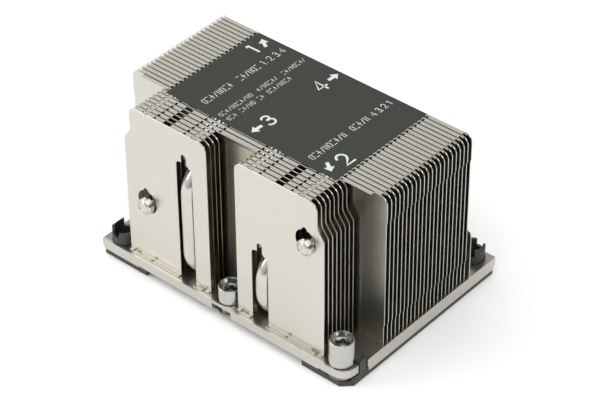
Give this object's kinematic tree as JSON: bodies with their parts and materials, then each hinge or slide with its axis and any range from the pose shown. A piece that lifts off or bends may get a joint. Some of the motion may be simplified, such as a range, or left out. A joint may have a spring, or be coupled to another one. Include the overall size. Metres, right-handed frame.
{
  "type": "passive server processor heatsink",
  "caption": "Passive server processor heatsink: folded interlocking fins on a flat base, bent heat pipes, captive nuts and a black plastic carrier.",
  "frame": {"origin": "centre of the face that presses on the processor", "axes": "+Z away from the processor, +X along the fins, -Y towards the front, where the two short fin blocks stand"},
  "size_m": [0.108, 0.079, 0.0671],
  "materials": {
    "fin_metal": "bright nickel-plated sheet",
    "base_metal": "nickel-plated, satin",
    "pipe_metal": "nickel-plated, satin",
    "nut_steel": "plated, satin",
    "ring_steel": "spring steel",
    "carrier_plastic": "moulded, matte",
    "label_film": "printed film, matte"
  },
  "bodies": {
    "heatsink": {"base_plate": "base_metal", "carrier": "carrier_plastic", "heat_pipe_left_riser": "pipe_metal", "heat_pipe_left_tip": "pipe_metal", "heat_pipe_right_riser": "pipe_metal", "heat_pipe_right_tip": "pipe_metal", "left_fin_1": "fin_metal", "left_fin_2": "fin_metal", "left_fin_3": "fin_metal", "left_fin_4": "fin_metal", "left_fin_5": "fin_metal", "left_fin_6": "fin_metal", "left_fin_7": "fin_metal", "left_fin_8": "fin_metal", "low_rear_fin": "fin_metal", "main_fin_01": "fin_metal", "main_fin_02": "fin_metal", "main_fin_03": "fin_metal", "main_fin_04": "fin_metal", "main_fin_05": "fin_metal", "main_fin_06": "fin_metal", "main_fin_07": "fin_metal", "main_fin_08": "fin_metal", "main_fin_09": "fin_metal", "main_fin_10": "fin_metal", "main_fin_11": "fin_metal", "main_fin_12": "fin_metal", "main_fin_13": "fin_metal", "main_fin_14": "fin_metal", "main_fin_15": "fin_metal", "main_fin_16": "fin_metal", "main_fin_17": "fin_metal", "main_fin_18": "fin_metal", "main_fin_19": "fin_metal", "main_fin_20": "fin_metal", "main_fin_21": "fin_metal", "main_fin_22": "fin_metal", "right_fin_1": "fin_metal", "right_fin_2": "fin_metal", "right_fin_3": "fin_metal", "right_fin_4": "fin_metal", "right_fin_5": "fin_metal", "right_fin_6": "fin_metal", "right_fin_7": "fin_metal", "right_fin_8": "fin_metal", "top_label": "label_film"},
    "ring_1": {"retaining_ring_1": "ring_steel"},
    "nut_1": {"nut_1": "nut_steel"},
    "ring_2": {"retaining_ring_2": "ring_steel"},
    "nut_2": {"nut_2": "nut_steel"},
    "ring_3": {"retaining_ring_3": "ring_steel"},
    "nut_3": {"nut_3": "nut_steel"},
    "ring_4": {"retaining_ring_4": "ring_steel"},
    "nut_4": {"nut_4": "nut_steel"}
  },
  "joints": [
    {"name": "ring_1_float", "type": "slide", "parent": "heatsink", "child": "ring_1", "axis": [0, 0, 1], "range_m": [0, 0.0007]},
    {"name": "nut_1_turn", "type": "hinge", "parent": "ring_1", "child": "nut_1", "pos_m": [-0.0479, 0.0341, 0], "axis": [0, 0, 1], "continuous": true},
    {"name": "ring_2_float", "type": "slide", "parent": "heatsink", "child": "ring_2", "axis": [0, 0, 1], "range_m": [0, 0.0007]},
    {"name": "nut_2_turn", "type": "hinge", "parent": "ring_2", "child": "nut_2", "pos_m": [0.0479, -0.0341, 0], "axis": [0, 0, 1], "continuous": true},
    {"name": "ring_3_float", "type": "slide", "parent": "heatsink", "child": "ring_3", "axis": [0, 0, 1], "range_m": [0, 0.0007]},
    {"name": "nut_3_turn", "type": "hinge", "parent": "ring_3", "child": "nut_3", "pos_m": [0.0003, -0.0341, 0], "axis": [0, 0, 1], "continuous": true},
    {"name": "ring_4_float", "type": "slide", "parent": "heatsink", "child": "ring_4", "axis": [0, 0, 1], "range_m": [0, 0.0007]},
    {"name": "nut_4_turn", "type": "hinge", "parent": "ring_4", "child": "nut_4", "pos_m": [-0.0003, 0.0341, 0], "axis": [0, 0, 1], "continuous": true}
  ]
}
